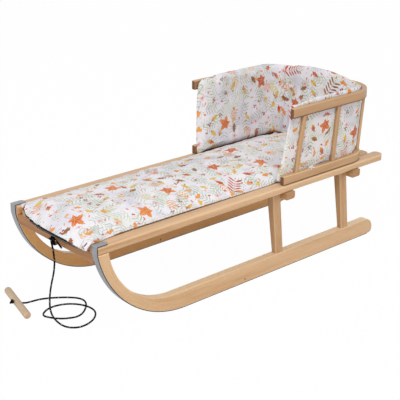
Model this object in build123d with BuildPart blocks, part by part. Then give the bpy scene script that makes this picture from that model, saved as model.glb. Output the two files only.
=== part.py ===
"""Children's wooden sled with bent runners, a slatted seat, a hooped backrest, cushions and a pull cord."""
import os
from math import acos, cos, degrees, pi, radians, sin, tan

from build123d import *

os.makedirs("parts", exist_ok=True)

# Frame: X forward, Y to the rider's left, Z up, floor at Z = 0, millimetres.
both_sides = {"left": 1, "right": -1}

# Seat rails
rail_length = 985.0
rail_width = 33.0
rail_thick = 20.0
rail_span = 362.0
rail_top = 230.0
rail_round = 7.0
rail_inner_round = 3.0
rail_rear_round = 14.0

# Seat slats
slat_width = 30.0
slat_round = 5.0
slat_end_round = 9.0
slat_pitch = 85.0
slat_front_setback = 4.0
slat_rear_setback = 17.0
slat_count = 4

# Crossbars, set back from the rails' rear ends
crossbar_width = 32.0
crossbar_height = 19.0
crossbar_overhang = 4.0
crossbar_round = 6.0
crossbar_front_round = 2.5
mid_crossbar_setback = 394.5
rear_crossbar_setback = 136.5
nose_bar_width = 26.0
nose_bar_height = 28.0
nose_bar_setback = 3.0
nose_bar_round = 4.0
nose_tenon_width = 14.0
nose_tenon_height = 12.0
nose_tenon_length = 14.0

# Runners and their steel straps
runner_width = 24.0
sole_height = 44.0
nose_radius_outer = 258.0
nose_radius_inner = 190.0
nose_tip_width = 29.0
runner_tail_setback = 31.5
tail_round_top = 28.0
tail_round_bottom = 14.0
runner_edge_round = 2.0
runner_hole_x = 32.0
runner_hole_height = 11.0
runner_hole_diameter = 5.0
strap_thick = 2.0
strap_width = 20.0
strap_tongue = 32.0
strap_tail_setback = 18.0

# Legs
leg_depth = 25.0
leg_top_width = 26.0
leg_foot_width = 18.0
leg_top_inset = 1.0
leg_chamfer = 3.0
leg_tenon_depth = 20.0
leg_tenon_width = 9.0
leg_tenon_long = 14.0

# Backrest hoops and spindles
hoop_thick = 14.0
low_hoop_height = 24.0
low_hoop_span = 358.0
low_hoop_length = 349.0
low_hoop_corner = 80.0
top_hoop_height = 25.0
top_hoop_level = 409.0
top_hoop_span = 388.0
top_hoop_length = 336.0
top_hoop_corner = 86.0
hoop_back_setback = 51.5
hoop_end_round = 5.0
hoop_edge_round = 2.5
spindle_width = 12.0
spindle_thick = 8.0
spindle_round = 2.0
spindle_pin = 5.0
spindle_pin_depth = 11.0
front_spindle_foot = 53.0
front_spindle_head = 48.0
middle_spindle_foot = 193.0
middle_spindle_head = 178.0
back_spindle_spread = 100.0
corner_spindle_turn = 45.0

# Cushions
seat_pad_crown = 28.0
seat_pad_edge = 8.0
seat_pad_overhang = 20.0
seat_pad_lap = 5.0
seat_pad_ease = 4.0
seat_pad_front_corner = 40.0
liner_thick = 18.0
liner_above_hoop = 18.0
liner_front_setback = 4.0

# Pull cord, its knots and its handle
cord_diameter = 4.5
knot_diameter = 13.0
lashing_turns = 2
handle_diameter = 18.0
handle_length = 160.0
handle_x = 533.5
handle_y = -95.5
handle_heading = 76.2
handle_end_round = 6.0
handle_hole_tilt = 25.0
handle_bend = 20.0
end_knot_diameter = 10.0
knot_gap = 1.0
cord_on_floor = 2.4
cord_over_cord = 12.4

# Fits
joint_clearance = 0.15
soft_clearance = 0.3

# Places that follow from the sizes above
rail_bottom = rail_top - rail_thick
rail_outer = rail_span / 2
rail_inner = rail_outer - rail_width
rail_front = (rail_length - seat_pad_overhang) / 2
rail_rear = rail_front - rail_length
runner_centre = rail_outer - runner_width / 2
runner_inner = rail_outer - runner_width
sole_bottom = strap_thick
sole_top = sole_bottom + sole_height
nose_turn_outer = acos(1 - (rail_bottom - sole_bottom) / nose_radius_outer)
nose_turn_inner = acos(1 - (rail_bottom - sole_top) / nose_radius_inner)
nose_start_outer = rail_front - nose_radius_outer * sin(nose_turn_outer)
nose_start_inner = rail_front - nose_tip_width - nose_radius_inner * sin(nose_turn_inner)
mid_crossbar_front = rail_rear + mid_crossbar_setback
rear_crossbar_front = rail_rear + rear_crossbar_setback
runner_tail = rail_rear + runner_tail_setback
hoop_back = rail_rear + hoop_back_setback
low_hoop_front = hoop_back + low_hoop_length
top_hoop_front = hoop_back + top_hoop_length
nose_bar_front = rail_front - nose_bar_setback
nose_bar_centre = nose_bar_front - nose_bar_width / 2
nose_bar_level = rail_bottom - nose_bar_height / 2


def bent_strip(half, front, back, corner, thick):
    """Draw the outline of a strip bent to a U, open to the front, inside the current BuildLine."""
    outside = FilletPolyline((front, half), (back, half), (back, -half), (front, -half), radius=corner)
    inside = FilletPolyline((front, half - thick), (back + thick, half - thick),
                            (back + thick, thick - half), (front, thick - half), radius=corner - thick)
    Line(outside @ 0, inside @ 0)
    Line(outside @ 1, inside @ 1)


# Runners: sole and bent nose in one laminated length
for side, sign in both_sides.items():
    with BuildPart() as runner:
        with BuildSketch(Plane.XZ.offset(-sign * runner_centre)) as profile:
            with BuildLine():
                sole = Line((runner_tail, sole_bottom), (nose_start_outer, sole_bottom))
                outer = CenterArc((nose_start_outer, sole_bottom + nose_radius_outer), nose_radius_outer,
                                  -90, degrees(nose_turn_outer))
                inner = CenterArc((nose_start_inner, sole_top + nose_radius_inner), nose_radius_inner,
                                  -90, degrees(nose_turn_inner))
                Line(outer @ 1, inner @ 1)
                Line(inner @ 0, (runner_tail, sole_top))
                Line((runner_tail, sole_top), (runner_tail, sole_bottom))
            make_face()
            tail = profile.vertices().group_by(Axis.X)[0].sort_by(Axis.Y)
            fillet(tail[-1], tail_round_top)
            fillet(profile.vertices().group_by(Axis.X)[0].sort_by(Axis.Y)[0], tail_round_bottom)
        extrude(amount=runner_width / 2, both=True)
        fillet(runner.faces().sort_by(Axis.Y)[-1].edges(), runner_edge_round)
        fillet(runner.faces().sort_by(Axis.Y)[0].edges(), runner_edge_round)
        with Locations((runner_hole_x, sign * runner_centre, runner_hole_height)):
            Cylinder(runner_hole_diameter / 2, runner_width, rotation=(90, 0, 0), mode=Mode.SUBTRACT)
        for crossbar_front in (mid_crossbar_front, rear_crossbar_front):
            with Locations((crossbar_front + leg_depth / 2, sign * runner_centre, sole_top)):
                Box(leg_tenon_long + 2 * joint_clearance, leg_tenon_width + 2 * joint_clearance,
                    2 * (leg_tenon_depth + joint_clearance), mode=Mode.SUBTRACT)
        with Locations((nose_bar_centre, sign * runner_inner, nose_bar_level)):
            Box(nose_tenon_width + 2 * joint_clearance, 2 * (nose_tenon_length + joint_clearance),
                nose_tenon_height + 2 * joint_clearance, mode=Mode.SUBTRACT)
    runner.part.label = f"runner_{side}"
    export_step(runner.part, f"parts/runner_{side}.step")

# Steel straps: tongue on the rail, over its front end, round the nose and along the sole
for side, sign in both_sides.items():
    with BuildPart() as strap:
        with BuildSketch(Plane.XZ.offset(-sign * runner_centre)):
            with BuildLine():
                tongue = Line((rail_front - strap_tongue, rail_top), (rail_front, rail_top))
                Line(tongue @ 1, (rail_front, rail_bottom))
                CenterArc((nose_start_outer, sole_bottom + nose_radius_outer), nose_radius_outer,
                          degrees(nose_turn_outer) - 90, -degrees(nose_turn_outer))
                Line((nose_start_outer, sole_bottom), (runner_tail + strap_tail_setback, sole_bottom))
                offset(amount=strap_thick, side=Side.LEFT)
            make_face()
        extrude(amount=strap_width / 2, both=True)
        tip = strap.edges().filter_by(Axis.Z).sort_by(Axis.Z)[-4:].group_by(Axis.X)[0]
        fillet(tip, strap_width / 2 - 1)
    strap.part.label = f"runner_strap_{side}"
    export_step(strap.part, f"parts/runner_strap_{side}.step")

# Seat rails: rounded section, rounded off at the rear
rail_centre = rail_outer - rail_width / 2
for side, sign in both_sides.items():
    with BuildPart() as rail:
        with BuildSketch(Plane.YZ.offset(rail_rear)) as section:
            with Locations((sign * rail_centre, rail_top - rail_thick / 2)):
                Rectangle(rail_width, rail_thick)
            corners = section.vertices().sort_by(Axis.X, reverse=sign < 0)
            fillet(corners[-2:], rail_round)
            fillet(section.vertices().sort_by(Axis.X, reverse=sign < 0)[:2], rail_inner_round)
        extrude(amount=rail_length)
        with BuildSketch(Plane.XY.offset(rail_bottom)) as plan:
            with Locations((rail_front - rail_length / 2, sign * rail_centre)):
                Rectangle(rail_length, rail_width)
            fillet(plan.vertices().group_by(Axis.X)[0], rail_rear_round)
        extrude(amount=rail_thick, mode=Mode.INTERSECT)
    rail.part.label = f"side_rail_{side}"
    export_step(rail.part, f"parts/side_rail_{side}.step")

# Seat slats lie level with the rails on the crossbars
slat_length = rail_length - slat_front_setback - slat_rear_setback
slat_front = rail_front - slat_front_setback
for number in range(slat_count):
    slat_y = (number - (slat_count - 1) / 2) * slat_pitch
    with BuildPart() as slat:
        with Locations((slat_front - slat_length / 2, slat_y, rail_top - rail_thick / 2)):
            Box(slat_length, slat_width, rail_thick)
        fillet(slat.edges().filter_by(Axis.Z), slat_end_round)
        fillet(slat.faces().sort_by(Axis.Z)[-1].edges(), slat_round)
    slat.part.label = f"seat_slat_{number + 1}"
    export_step(slat.part, f"parts/seat_slat_{number + 1}.step")

# Crossbars behind the legs carry the rails and slats
for place, front in {"mid": mid_crossbar_front, "rear": rear_crossbar_front}.items():
    with BuildPart() as crossbar:
        with Locations((front - crossbar_width / 2, 0, rail_bottom - crossbar_height / 2)):
            Box(crossbar_width, rail_span + 2 * crossbar_overhang, crossbar_height)
        fillet(crossbar.edges().filter_by(Axis.Y).group_by(Axis.X)[0].group_by(Axis.Z)[0], crossbar_round)
        fillet(crossbar.edges().filter_by(Axis.Y).group_by(Axis.X)[-1].group_by(Axis.Z)[0], crossbar_front_round)
    crossbar.part.label = f"crossbar_{place}"
    export_step(crossbar.part, f"parts/crossbar_{place}.step")

# Nose bar is tenoned between the runner tips and takes the cord
with BuildPart() as nose_bar:
    with Locations((nose_bar_centre, 0, nose_bar_level)):
        Box(nose_bar_width, 2 * runner_inner, nose_bar_height)
    fillet(nose_bar.edges().filter_by(Axis.Y), nose_bar_round)
    with Locations((nose_bar_centre, 0, nose_bar_level)):
        Box(nose_tenon_width, 2 * (runner_inner + nose_tenon_length), nose_tenon_height)
nose_bar.part.label = "crossbar_nose"
export_step(nose_bar.part, "parts/crossbar_nose.step")

# Legs taper down to the runner and splay outwards
leg_top_centre = rail_inner + leg_top_inset
for place, front in {"front": mid_crossbar_front, "rear": rear_crossbar_front}.items():
    for side, sign in both_sides.items():
        leg_x = front + leg_depth / 2
        with BuildPart() as leg:
            with BuildSketch(Plane.XY.offset(sole_top)):
                with Locations((leg_x, sign * runner_centre)):
                    Rectangle(leg_depth, leg_foot_width)
            with BuildSketch(Plane.XY.offset(rail_bottom)):
                with Locations((leg_x, sign * leg_top_centre)):
                    Rectangle(leg_depth, leg_top_width)
            loft()
            upright = leg.edges().filter_by(lambda edge: abs(edge.tangent_at(0).Z) > 0.9)
            chamfer(upright.group_by(Axis.X)[-1], leg_chamfer)
            with Locations((leg_x, sign * runner_centre, sole_top)):
                Box(leg_tenon_long, leg_tenon_width, leg_tenon_depth,
                    align=(Align.CENTER, Align.CENTER, Align.MAX))
        leg.part.label = f"leg_{place}_{side}"
        export_step(leg.part, f"parts/leg_{place}_{side}.step")

# Backrest: two bent hoops joined by dowelled spindles
low_hoop_top = rail_top + low_hoop_height
low_line = low_hoop_span / 2 - hoop_thick / 2
top_line = top_hoop_span / 2 - hoop_thick / 2
low_corner_x = hoop_back + low_hoop_corner
top_corner_x = hoop_back + top_hoop_corner
low_corner_y = low_hoop_span / 2 - low_hoop_corner
top_corner_y = top_hoop_span / 2 - top_hoop_corner
low_bend = low_hoop_corner - hoop_thick / 2
top_bend = top_hoop_corner - hoop_thick / 2
corner_turn = radians(corner_spindle_turn)
spindle_foot = {
    "front": (low_hoop_front - front_spindle_foot, low_line),
    "middle": (low_hoop_front - middle_spindle_foot, low_line),
    "corner": (low_corner_x - low_bend * sin(corner_turn), low_corner_y + low_bend * cos(corner_turn)),
    "back": (hoop_back + hoop_thick / 2, back_spindle_spread / 2),
}
spindle_head = {
    "front": (top_hoop_front - front_spindle_head, top_line),
    "middle": (top_hoop_front - middle_spindle_head, top_line),
    "corner": (top_corner_x - top_bend * sin(corner_turn), top_corner_y + top_bend * cos(corner_turn)),
    "back": (hoop_back + hoop_thick / 2, back_spindle_spread / 2),
}
spindle_turn = {"front": 0.0, "middle": 0.0, "corner": corner_spindle_turn, "back": 90.0}
hoops = {
    "low": (low_hoop_span / 2, low_hoop_front, hoop_back, low_hoop_corner, rail_top, low_hoop_height,
            spindle_foot, low_hoop_top),
    "top": (top_hoop_span / 2, top_hoop_front, hoop_back, top_hoop_corner, top_hoop_level, top_hoop_height,
            spindle_head, top_hoop_level),
}
for name, (half, front, back, corner, level, height, seats, seat_level) in hoops.items():
    with BuildPart() as hoop:
        with BuildSketch(Plane.XY.offset(level)) as outline:
            with BuildLine():
                bent_strip(half, front, back, corner, hoop_thick)
            make_face()
            fillet(outline.vertices().group_by(Axis.X)[-1], hoop_end_round)
        extrude(amount=height)
        fillet(hoop.faces().sort_by(Axis.Z)[-1].edges(), hoop_edge_round)
        fillet(hoop.faces().sort_by(Axis.Z)[0].edges(), hoop_edge_round)
        with Locations([(x, y * sign, seat_level) for x, y in seats.values() for sign in both_sides.values()]):
            Cylinder(spindle_pin / 2 + joint_clearance, 2 * (spindle_pin_depth + joint_clearance),
                     mode=Mode.SUBTRACT)
    hoop.part.label = f"backrest_{name}_hoop"
    export_step(hoop.part, f"parts/backrest_{name}_hoop.step")

for place in spindle_foot:
    foot_x, foot_y = spindle_foot[place]
    head_x, head_y = spindle_head[place]
    for side, sign in both_sides.items():
        with BuildPart() as spindle:
            with BuildSketch(Plane.XY.offset(low_hoop_top)):
                with Locations(Location((foot_x, sign * foot_y), sign * spindle_turn[place])):
                    RectangleRounded(spindle_width, spindle_thick, spindle_round)
            with BuildSketch(Plane.XY.offset(top_hoop_level)):
                with Locations(Location((head_x, sign * head_y), sign * spindle_turn[place])):
                    RectangleRounded(spindle_width, spindle_thick, spindle_round)
            loft()
            with Locations((foot_x, sign * foot_y, low_hoop_top)):
                Cylinder(spindle_pin / 2, spindle_pin_depth, align=(Align.CENTER, Align.CENTER, Align.MAX))
            with Locations((head_x, sign * head_y, top_hoop_level)):
                Cylinder(spindle_pin / 2, spindle_pin_depth, align=(Align.CENTER, Align.CENTER, Align.MIN))
        spindle.part.label = f"spindle_{place}_{side}"
        export_step(spindle.part, f"parts/spindle_{place}_{side}.step")

# Back liner: one padded strip inside the hoops, leaning out with them
liner_bottom = rail_top + soft_clearance
liner_top = top_hoop_level + top_hoop_height + liner_above_hoop
low_inside = low_hoop_span / 2 - hoop_thick - soft_clearance
top_inside = top_hoop_span / 2 - hoop_thick - soft_clearance
liner_back = hoop_back + hoop_thick + soft_clearance
leans_out = top_hoop_span >= low_hoop_span
low_touch = low_hoop_top if leans_out else rail_top
top_touch = top_hoop_level + top_hoop_height if leans_out else top_hoop_level
lean_height = top_touch - low_touch
side_lean = (top_inside - low_inside) / lean_height
front_lean = (top_hoop_front - low_hoop_front) / lean_height
corner_lean = (top_hoop_corner - low_hoop_corner) / lean_height
with BuildPart() as liner:
    for level in (liner_bottom, liner_top):
        rise = level - low_touch
        liner_half = low_inside + side_lean * rise
        liner_front = low_hoop_front + front_lean * rise - liner_front_setback
        liner_corner = low_hoop_corner + corner_lean * rise - hoop_thick
        with BuildSketch(Plane.XY.offset(level)):
            with BuildLine():
                bent_strip(liner_half, liner_front, liner_back, liner_corner, liner_thick)
            make_face()
    loft()
liner.part.label = "back_liner"
export_step(liner.part, "parts/back_liner.step")

# Seat cushion: a crowned pad that laps onto the rails, narrows between the liner's arms and laps over the front
pad_half = rail_inner + seat_pad_lap
pad_rear_half = low_inside + side_lean * (liner_bottom - low_touch) - liner_thick - seat_pad_ease
pad_front = rail_front + seat_pad_overhang
pad_back = liner_back + liner_thick + soft_clearance
pad_step = low_hoop_front + front_lean * (liner_bottom - low_touch) - liner_front_setback + soft_clearance
pad_rear_corner = low_hoop_corner - hoop_thick - liner_thick
crown_drop = seat_pad_crown - seat_pad_edge
crown_radius = (pad_half ** 2 + crown_drop ** 2) / (2 * crown_drop)
with BuildPart() as seat_pad:
    with BuildSketch(Plane.XY.offset(liner_bottom)) as pad_outline:
        with BuildLine():
            Polyline((pad_back, pad_rear_half), (pad_step, pad_rear_half), (pad_step, pad_half), (pad_front, pad_half),
                     (pad_front, -pad_half), (pad_step, -pad_half), (pad_step, -pad_rear_half),
                     (pad_back, -pad_rear_half), close=True)
        make_face()
        fillet(pad_outline.vertices().group_by(Axis.X)[-1], seat_pad_front_corner)
        fillet(pad_outline.vertices().group_by(Axis.X)[0], pad_rear_corner)
    extrude(amount=2 * seat_pad_crown)
    with BuildSketch(Plane.YZ.offset(pad_back - seat_pad_crown)):
        with Locations((0, liner_bottom + seat_pad_crown - crown_radius)):
            Circle(crown_radius)
    extrude(amount=pad_front - pad_back + 2 * seat_pad_crown, mode=Mode.INTERSECT)
seat_pad.part.label = "seat_cushion"
export_step(seat_pad.part, "parts/seat_cushion.step")

# Cord lashed round the nose bar and knotted in front of it
bar_gap = joint_clearance
lashing_outer_x = nose_bar_width + 2 * (cord_diameter + bar_gap)
lashing_outer_z = nose_bar_height + 2 * (cord_diameter + bar_gap)
lashing_front = nose_bar_front + bar_gap + cord_diameter
knot_x = nose_bar_front + bar_gap + knot_diameter / 2
with BuildPart() as knot:
    with BuildSketch(Plane.XZ):
        with Locations((nose_bar_centre, nose_bar_level)):
            RectangleRounded(lashing_outer_x, lashing_outer_z, nose_bar_round + cord_diameter)
            RectangleRounded(nose_bar_width + 2 * bar_gap, nose_bar_height + 2 * bar_gap, nose_bar_round,
                             mode=Mode.SUBTRACT)
    extrude(amount=lashing_turns * cord_diameter / 2, both=True)
    with Locations((knot_x, 0, nose_bar_level)):
        Sphere(knot_diameter / 2)
knot.part.label = "cord_knot"
export_step(knot.part, "parts/cord_knot.step")

# Handle: a turned dowel lying on the floor, drilled across for the cord, with the hole's knot end up
handle_turn = radians(handle_heading)
hole_tilt = radians(handle_hole_tilt)
handle_level = handle_diameter / 2
handle_plane = Plane((handle_x, handle_y, handle_level), x_dir=(0, 0, 1),
                     z_dir=(cos(handle_turn), sin(handle_turn), 0))


def along_hole(reach):
    """Give the point that far from the handle's middle along its cross hole, in the handle's own plane."""
    return (reach * sin(hole_tilt), reach * cos(hole_tilt), 0)


with BuildPart(handle_plane) as handle:
    Cylinder(handle_diameter / 2, handle_length)
    fillet(handle.edges().filter_by(GeomType.CIRCLE), handle_end_round)
    Cylinder(cord_diameter / 2 + joint_clearance, 2 * handle_diameter, rotation=(90, -handle_hole_tilt, 0),
             mode=Mode.SUBTRACT)
handle.part.label = "pull_handle"
export_step(handle.part, "parts/pull_handle.step")

with BuildPart(handle_plane) as end_knot:
    with Locations(along_hole(handle_diameter / 2 + end_knot_diameter / 2)):
        Sphere(end_knot_diameter / 2)
end_knot.part.label = "cord_end_knot"
export_step(end_knot.part, "parts/cord_end_knot.step")

# Cord: hangs from the knot, lies on the floor in two loops and runs through the handle
floor = cord_on_floor
over = cord_over_cord
cord_points = [
    (lashing_front + cord_diameter / 2 + knot_gap, 0, nose_bar_level - knot_diameter / 2 - knot_gap),
    (488, 12, 158),
    (489, 9, 118),
    (490, -6, 78),
    (491, -16, 40),
    (494, -13, floor + 1),
    (510, 34, floor),
    (511, 78, floor),
    (484, 102, floor),
    (440, 92, floor),
    (408, 58, floor),
    (410, 14, floor),
    (438, -22, floor),
    (482, -34, floor),
    (520, -12, floor),
    (521, 30, over),
    (500, 56, over),
    (450, 56, floor),
    (414, 30, over),
    (406, -6, over),
    (428, -58, floor),
    (470, -84, floor),
    handle_plane.from_local_coords(along_hole((floor - handle_level) / sin(hole_tilt))),
    handle_plane.from_local_coords(along_hole(handle_diameter / 2)),
]
runs = [Vector(b) - Vector(a) for a, b in zip(cord_points, cord_points[1:])]
cord_radii = []
for before, after in zip(runs, runs[1:]):
    half_turn = radians(before.get_angle(after)) / 2
    cord_radii.append(0.45 * min(before.length, after.length) / tan(half_turn))
cord_radii[-1] = handle_bend
print("cord radii", [round(radius, 1) for radius in cord_radii])
with BuildPart() as cord:
    with BuildLine():
        route = FilletPolyline(*cord_points, radius=cord_radii)
    with BuildSketch(Plane(origin=route @ 0, z_dir=route % 0)):
        Circle(cord_diameter / 2)
    sweep()
print("cord length", round(route.length, 1),
      "volume ratio", round(cord.part.volume / (pi * cord_diameter ** 2 / 4 * route.length), 4))
cord.part.label = "pull_cord"
export_step(cord.part, "parts/pull_cord.step")
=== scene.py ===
# Looks of a children's wooden sled: beech, steel shoes, printed cushions and a pull cord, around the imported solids.
import math

import bmesh
import bpy
import numpy as np
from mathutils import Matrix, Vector, noise
from mathutils.bvhtree import BVHTree


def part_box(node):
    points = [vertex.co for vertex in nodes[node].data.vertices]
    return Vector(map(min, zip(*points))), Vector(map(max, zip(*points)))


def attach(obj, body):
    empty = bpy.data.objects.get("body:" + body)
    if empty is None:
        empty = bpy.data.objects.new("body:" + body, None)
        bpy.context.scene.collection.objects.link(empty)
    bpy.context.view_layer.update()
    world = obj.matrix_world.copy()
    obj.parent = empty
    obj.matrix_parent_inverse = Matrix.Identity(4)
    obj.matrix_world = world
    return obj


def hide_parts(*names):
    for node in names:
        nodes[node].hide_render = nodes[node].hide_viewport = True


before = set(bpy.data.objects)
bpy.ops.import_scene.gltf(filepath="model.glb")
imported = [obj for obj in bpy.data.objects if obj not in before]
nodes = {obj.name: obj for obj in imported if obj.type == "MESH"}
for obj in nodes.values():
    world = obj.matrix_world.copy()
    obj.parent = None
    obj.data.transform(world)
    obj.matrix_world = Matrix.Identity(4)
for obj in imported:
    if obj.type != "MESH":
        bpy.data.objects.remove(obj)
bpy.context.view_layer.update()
scene = bpy.context.scene
mm = 0.001
fullTurn = 2 * math.pi
print("stage: frame loaded,", len(nodes), "nodes")


# Shader wires: sockets that take part in Python expressions
def bothWays(operation):  # an operator's plain form and its reflected one
    return (lambda self, other: self.math(operation, self, other),
            lambda self, other: self.math(operation, other, self))


class Wire:
    def __init__(self, tree, socket=None):
        self.tree = tree
        self.socket = socket

    def node(self, kind, settings=None, inputs=None, out=0):  # any node: settings first, then its sockets
        made = self.tree.nodes.new(kind)
        for key, value in (settings or {}).items():
            if key == "stops":
                setStops(made.color_ramp, value)
            else:
                setattr(made, key, value)
        for key, value in (inputs or {}).items():
            if isinstance(value, Wire):
                self.tree.links.new(value.socket, made.inputs[key])
            else:
                made.inputs[key].default_value = value
        return Wire(self.tree, made.outputs[out] if made.outputs else None)

    def math(self, operation, *values):
        return self.node("ShaderNodeMath", {"operation": operation}, dict(enumerate(values)))

    def split(self):
        parts = self.node("ShaderNodeSeparateXYZ", {}, {0: self}).socket.node.outputs
        return [Wire(self.tree, part) for part in parts]

    def soft(self, start, end):  # smooth step from 0 at start to 1 at end
        return self.node("ShaderNodeMapRange", {"interpolation_type": "SMOOTHSTEP"}, {0: self, 1: start, 2: end})

    def mix(self, other, share):  # this colour, with a share of the other one
        return self.node("ShaderNodeMix", {"data_type": "RGBA"}, {0: share, 6: self, 7: other}, out=2)

    def shade(self, first, second):  # a colour between two, by this value
        return self.node("ShaderNodeMix", {"data_type": "RGBA"}, {0: self, 6: first, 7: second}, out=2)

    __add__, __radd__ = bothWays("ADD")
    __sub__, __rsub__ = bothWays("SUBTRACT")
    __mul__, __rmul__ = bothWays("MULTIPLY")
    __truediv__, __rtruediv__ = bothWays("DIVIDE")
    __mod__, __rmod__ = bothWays("FLOORED_MODULO")
    __lt__, __gt__ = bothWays("LESS_THAN")  # a > b is b < a

    def __abs__(self):
        return self.math("ABSOLUTE", self)


def setStops(ramp, stops):
    while len(ramp.elements) < len(stops):
        ramp.elements.new(1.0)
    for element, (place, colour) in zip(ramp.elements, stops):
        element.position = place
        element.color = colour


def paint(red, green, blue):  # a colour as seen on screen, made linear
    parts = [part / 255 for part in (red, green, blue)]
    return tuple(p / 12.92 if p <= 0.04045 else ((p + 0.055) / 1.055) ** 2.4 for p in parts) + (1.0,)


def emptyTree(owner):  # the cleared node tree of a material or a world
    owner.use_nodes = True
    owner.node_tree.nodes.clear()
    return Wire(owner.node_tree)


def newMaterial(name):
    material = bpy.data.materials.new(name)
    return material, emptyTree(material)


def surface(root, sockets):  # one principled shader with these sockets, as the material's surface
    shader = root.node("ShaderNodeBsdfPrincipled", {}, sockets)
    root.node("ShaderNodeOutputMaterial", {}, {"Surface": shader})


def objectPlace(root):
    return root.node("ShaderNodeTexCoord", out="Object").split()


def objectNormal(root):
    return root.node("ShaderNodeTexCoord", out="Normal").split()


def noiseAt(root, x, y, z, detail=2.0, roughness=0.5):
    place = root.node("ShaderNodeCombineXYZ", {}, {0: x, 1: y, 2: z})
    return root.node("ShaderNodeTexNoise", {}, {"Vector": place, "Scale": 1.0, "Detail": detail,
                                                "Roughness": roughness})


def bump(root, height, strength, distance):
    return root.node("ShaderNodeBump", {}, {"Height": height, "Strength": strength, "Distance": distance})


# Camera, light and floor
cameraLook = {"place": (1.6364, 1.8220, 1.1177), "forward": (-0.6177, -0.6982, -0.3619), "lens": 89.55,
              "sensor": 36.0}
lightLook = {"ambient": 0.52, "ambientTint": (1.0, 0.985, 0.965, 1.0),
             "lamps": {"key": ((0.8, 1.2, 2.5), 1.6, 35.0), "front": ((2.2, -0.2, 1.2), 1.4, 10.0),
                       "side": ((0.5, 2.7, 0.25), 1.0, 11.0)},
             "aim": (0.0, 0.0, 0.2)}
pureWhite = {"Color": (1.0, 1.0, 1.0, 1.0), "Strength": 1.0}
floorLook = {"size": 60.0, "albedo": (0.84, 0.79, 0.73, 1.0), "whiteShare": 0.985}


def addObject(name, data):
    made = bpy.data.objects.new(name, data)
    scene.collection.objects.link(made)
    return made


def aim(made, place, direction):  # stands it at a place, looking along a direction
    made.location = place
    made.rotation_mode = "QUATERNION"
    made.rotation_quaternion = Vector(direction).to_track_quat("-Z", "Y")


def makeCamera(look):
    data = bpy.data.cameras.new("photoCamera")
    data.lens = look["lens"]
    data.sensor_width = look["sensor"]
    scene.camera = addObject("photoCamera", data)
    aim(scene.camera, look["place"], look["forward"])


def seenDirect(root):  # 1 where the camera, a reflection or glass looks straight at it
    path = root.node("ShaderNodeLightPath").socket.node.outputs
    rays = [Wire(root.tree, path[name]) for name in ("Is Camera Ray", "Is Glossy Ray", "Is Transmission Ray")]
    return root.math("MAXIMUM", root.math("MAXIMUM", rays[0], rays[1]), rays[2])


def makeWorld(look):
    world = bpy.data.worlds.new("studio")
    root = emptyTree(world)
    dim = root.node("ShaderNodeBackground", {}, {"Color": look["ambientTint"], "Strength": look["ambient"]})
    white = root.node("ShaderNodeBackground", {}, pureWhite)
    both = root.node("ShaderNodeMixShader", {}, {0: seenDirect(root), 1: dim, 2: white})
    root.node("ShaderNodeOutputWorld", {}, {"Surface": both})
    scene.world = world


def makeLamps(look):
    for name, (place, size, power) in look["lamps"].items():
        data = bpy.data.lights.new(name + "Lamp", "AREA")
        data.shape = "DISK"
        data.size = size
        data.energy = power
        aim(addObject(name + "Lamp", data), place, Vector(look["aim"]) - Vector(place))


def makeFloor(look):
    half = look["size"] / 2
    mesh = bpy.data.meshes.new("floor")
    mesh.from_pydata([(-half, -half, 0), (half, -half, 0), (half, half, 0), (-half, half, 0)], [], [(0, 1, 2, 3)])
    floor = addObject("floor", mesh)
    material, root = newMaterial("paleFloor")
    matt = root.node("ShaderNodeBsdfDiffuse", {}, {"Color": look["albedo"]})
    white = root.node("ShaderNodeEmission", {}, pureWhite)
    both = root.node("ShaderNodeMixShader", {}, {0: seenDirect(root) * look["whiteShare"], 1: matt, 2: white})
    root.node("ShaderNodeOutputMaterial", {}, {"Surface": both})
    mesh.materials.append(material)


makeCamera(cameraLook)
makeWorld(lightLook)
makeLamps(lightLook)
makeFloor(floorLook)
scene.view_settings.view_transform = "Standard"
print("stage: camera, light and floor")


# Cord: one NURBS route, a braided tube along it, its lashing on the nose bar and its end knot
cordLook = {"diameter": 4.5 * mm, "length": 0.9504, "sides": 14, "smooth": 12, "flatness": 0.98}
cordRoute = [
    (487.4, 0, 188.5), (488, 12, 158), (489, 9, 118), (490, -6, 78), (491, -16, 40), (494, -13, 3.4),
    (510, 34, 2.4), (511, 78, 2.4), (484, 102, 2.4), (440, 92, 2.4), (408, 58, 2.4), (410, 14, 2.4),
    (438, -22, 2.4), (482, -34, 2.4), (520, -12, 2.4), (521, 30, 12.4), (500, 56, 12.4), (450, 56, 2.4),
    (414, 30, 12.4), (406, -6, 12.4), (428, -58, 2.4), (470, -84, 2.4), (495.3, -88.1, 2.4),
    (519.8, -92.1, 2.4), (541.4, -97.5, 12.8),
]
lashingLook = {"turns": 2, "pitch": 4.6 * mm, "gap": 0.3 * mm, "round": 5.0 * mm, "knotReach": 1.55 * mm,
               "knotInset": 6.5 * mm, "knotAhead": (0.2, 0.1, 1),
               "tail": [(0, 2, 0), (2, 10, 4), (1, 20, 2), (0.5, 32, -5), (1, 42, -10)]}
endKnotLook = {"knotReach": 1.25 * mm, "tail": 9 * mm}


def splinePoints(points, closed=False, smooth=12):  # points read along a NURBS spline with these control points
    curve = bpy.data.curves.new("route", "CURVE")
    curve.dimensions = "3D"
    curve.resolution_u = smooth
    spline = curve.splines.new("NURBS")
    spline.points.add(len(points) - 1)
    for control, point in zip(spline.points, points):
        control.co = (*point, 1.0)
    spline.order_u = 3
    spline.use_cyclic_u = closed
    spline.use_endpoint_u = not closed
    holder = addObject("route", curve)
    bpy.context.view_layer.update()
    mesh = bpy.data.meshes.new_from_object(holder.evaluated_get(bpy.context.evaluated_depsgraph_get()))
    line = np.array([vertex.co for vertex in mesh.vertices])
    bpy.data.objects.remove(holder)
    bpy.data.meshes.remove(mesh)
    return line


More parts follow.
